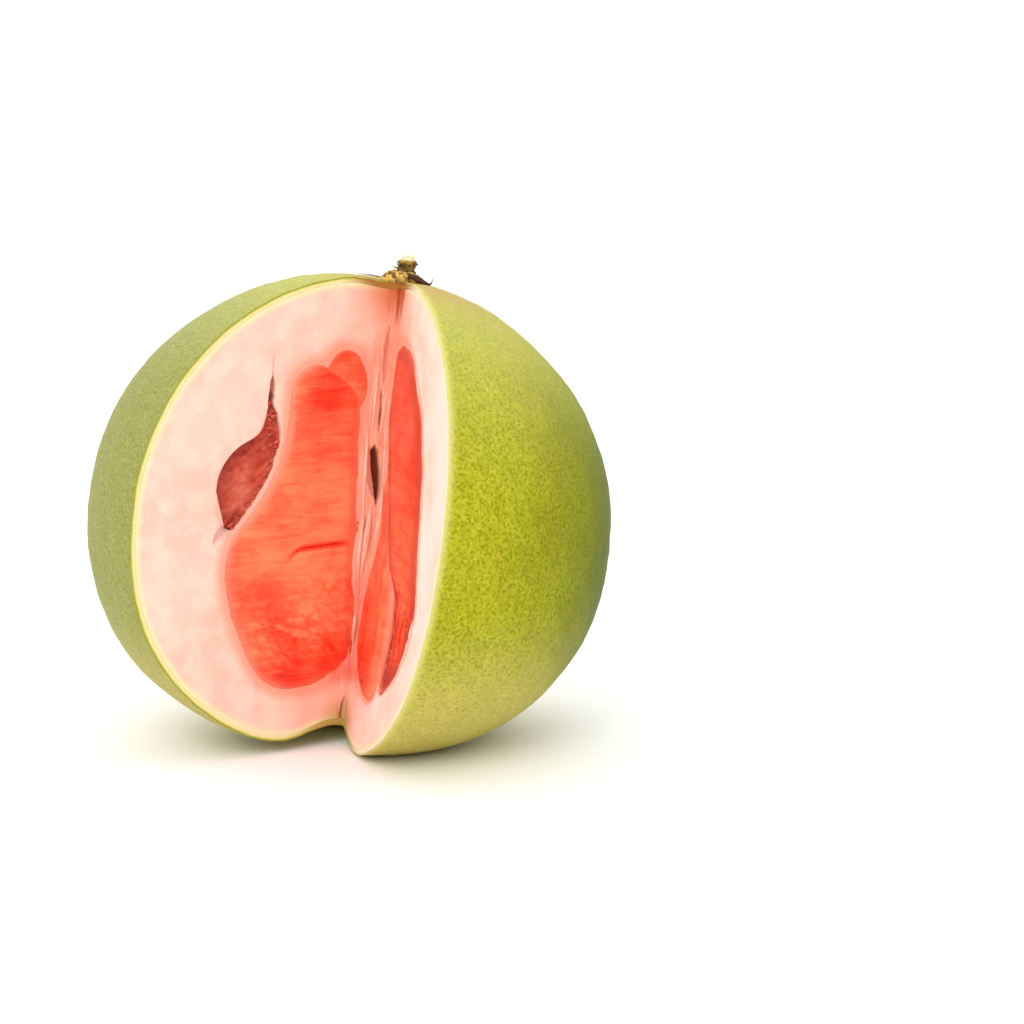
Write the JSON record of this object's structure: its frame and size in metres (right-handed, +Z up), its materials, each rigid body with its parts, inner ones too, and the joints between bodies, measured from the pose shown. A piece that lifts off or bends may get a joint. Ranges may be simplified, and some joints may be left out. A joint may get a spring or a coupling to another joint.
{
  "type": "cut pink pomelo grapefruit",
  "caption": "Large green-skinned citrus fruit with thick pale pith and pink flesh, resting upright with one wedge cut out of its front.",
  "frame": {"origin": "on the surface that the fruit rests on, under the middle of its bounding box", "axes": "+Z up, -Y towards the side that the wedge was cut from, +X to the right when the cut is in front"},
  "size_m": [0.148, 0.1432, 0.1385],
  "materials": {
    "rind": "semi-gloss waxy skin with fine oil glands",
    "pith": "matt, spongy, cut",
    "flesh": "moist and glossy",
    "dried_calyx": "dry, matt",
    "dried_stalk": "dry, rough, snapped"
  },
  "bodies": {
    "root": {"fruit": "rind", "calyx": "dried_calyx", "stem_stub": "dried_stalk"}
  },
  "joints": []
}
